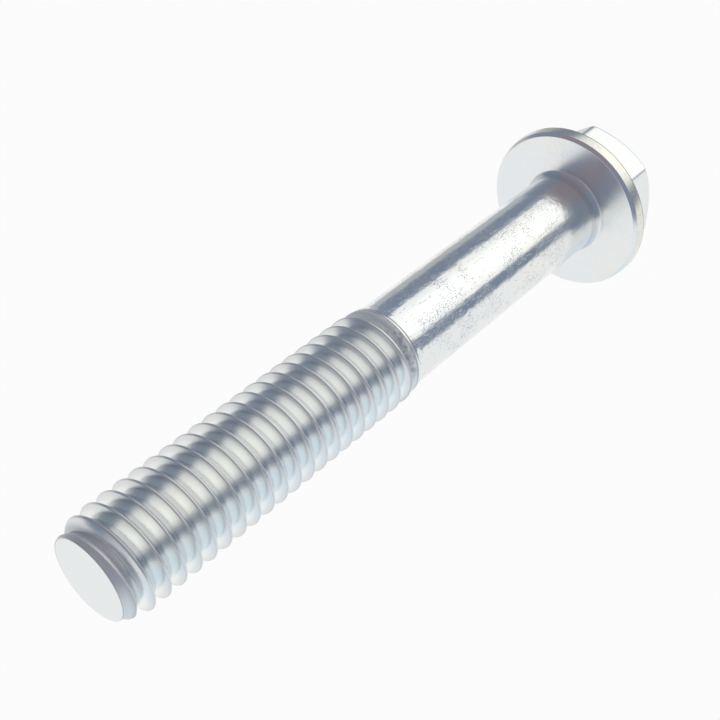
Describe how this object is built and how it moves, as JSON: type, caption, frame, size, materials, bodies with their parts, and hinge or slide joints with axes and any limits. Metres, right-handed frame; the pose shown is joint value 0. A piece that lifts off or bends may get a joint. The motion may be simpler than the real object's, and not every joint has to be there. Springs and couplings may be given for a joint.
{
  "type": "flange bolt",
  "caption": "Hexagon flange bolt with a rolled coarse thread, a plain reduced shank and a washer-like flange under the head.",
  "frame": {"origin": "centre of the flat top of the head, on which the bolt stands", "axes": "+Z along the bolt from the head to the threaded end, +X towards a corner of the hexagon"},
  "size_m": [0.011, 0.011, 0.0449],
  "materials": {
    "zinc_plate": "bright zinc plate, clear passivated, glossy on the rolled shank"
  },
  "bodies": {
    "root": {"flange_bolt": "zinc_plate"}
  },
  "joints": []
}
